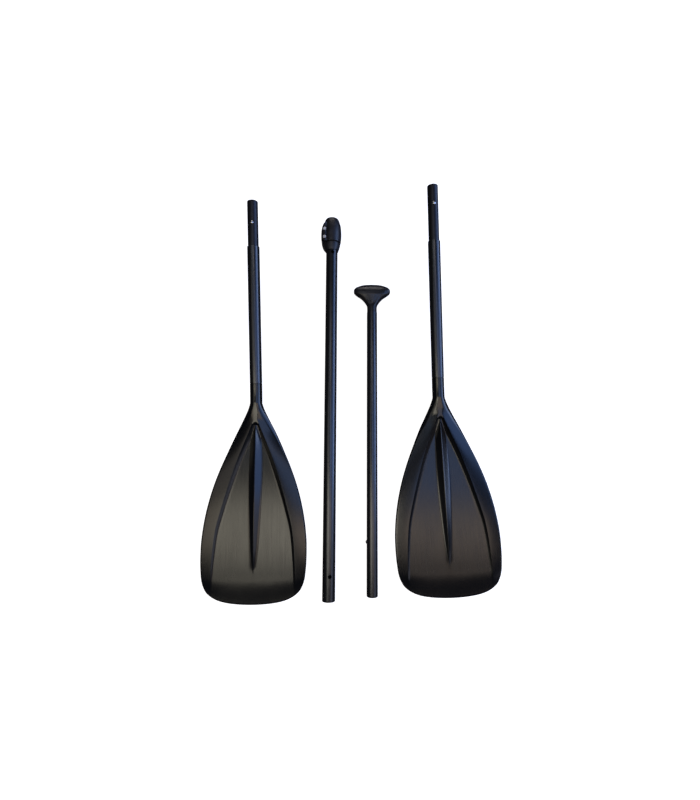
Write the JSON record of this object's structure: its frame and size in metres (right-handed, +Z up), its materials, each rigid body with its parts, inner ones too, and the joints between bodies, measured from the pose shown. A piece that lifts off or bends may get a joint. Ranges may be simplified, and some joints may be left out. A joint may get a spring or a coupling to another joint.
{
  "type": "kayak paddle",
  "caption": "Convertible kayak and stand-up paddle taken apart: blade sections with spined blades, a middle shaft with a lever clamp, and a T-grip shaft.",
  "frame": {"origin": "middle of the laid-out kit's box, at floor level", "axes": "+Y along the middle section, from its open end to its clamp; +Z up from the floor the blades lie on; +X to the right section"},
  "size_m": [0.621, 0.8706, 0.1182],
  "materials": {
    "blade_plastic": "satin",
    "clamp_plastic": "matt, fine texture",
    "grip_plastic": "satin gloss",
    "plug_plastic": "matt",
    "anodised_tube": "black anodised, satin gloss",
    "anodised_ferrule": "black anodised, matt",
    "button_steel": "polished",
    "fastener_steel": "satin",
    "spring_steel": "satin",
    "foam": "closed-cell foam"
  },
  "bodies": {
    "middle_section": {"middle_tube": "anodised_tube", "clamp_collar": "clamp_plastic", "clamp_pivot_barrel": "fastener_steel", "clamp_bolt_lower": "fastener_steel", "clamp_bolt_upper": "fastener_steel", "clamp_nut_lower": "fastener_steel", "clamp_nut_upper": "fastener_steel"},
    "lever": {"clamp_lever": "clamp_plastic"},
    "left_section": {"left_blade": "blade_plastic", "left_blade_tube": "anodised_tube", "left_ferrule": "anodised_ferrule", "left_ferrule_cap": "plug_plastic", "left_foam_float": "foam", "left_button_spring": "spring_steel"},
    "left_snap": {"left_button": "button_steel"},
    "right_section": {"right_blade": "blade_plastic", "right_blade_tube": "anodised_tube", "right_ferrule": "anodised_ferrule", "right_ferrule_cap": "plug_plastic", "right_foam_float": "foam", "right_button_spring": "spring_steel"},
    "right_snap": {"right_button": "button_steel"},
    "handle_section": {"handle_tube": "anodised_tube", "t_grip": "grip_plastic", "handle_foot_plug": "plug_plastic", "handle_foam_float": "foam", "handle_button_spring": "spring_steel"},
    "handle_snap": {"handle_button": "button_steel"}
  },
  "joints": [
    {"name": "clamp_lever_hinge", "type": "hinge", "parent": "middle_section", "child": "lever", "pos_m": [-0.06029, 0.37169, 0.0317], "axis": [-0.0014, -1, -0.0078], "range_deg": [0, 115]},
    {"name": "left_section_slide", "type": "slide", "parent": "middle_section", "child": "left_section", "axis": [-0.0128, 0.9781, 0.2079], "range_m": [0, 0.0965]},
    {"name": "left_button_press", "type": "slide", "parent": "left_section", "child": "left_snap", "axis": [-0.0027, 0.2079, -0.9781], "range_m": [0, 0.0025], "stiffness_N_per_m": 200, "springref_m": -0.002, "deforming": ["left_button_spring"]},
    {"name": "right_section_slide", "type": "slide", "parent": "middle_section", "child": "right_section", "axis": [-0.0346, 0.9775, 0.2079], "range_m": [0, 0.1185]},
    {"name": "right_button_press", "type": "slide", "parent": "right_section", "child": "right_snap", "axis": [-0.0074, 0.2078, -0.9781], "range_m": [0, 0.0025], "stiffness_N_per_m": 200, "springref_m": -0.002, "deforming": ["right_button_spring"]},
    {"name": "handle_section_slide", "type": "slide", "parent": "middle_section", "child": "handle_section", "axis": [0.0082, 1, 0.0042], "range_m": [0, 0.44]},
    {"name": "handle_button_press", "type": "slide", "parent": "handle_section", "child": "handle_snap", "axis": [1, -0.0082, 0], "range_m": [0, 0.0025], "stiffness_N_per_m": 200, "springref_m": -0.002, "deforming": ["handle_button_spring"]}
  ]
}
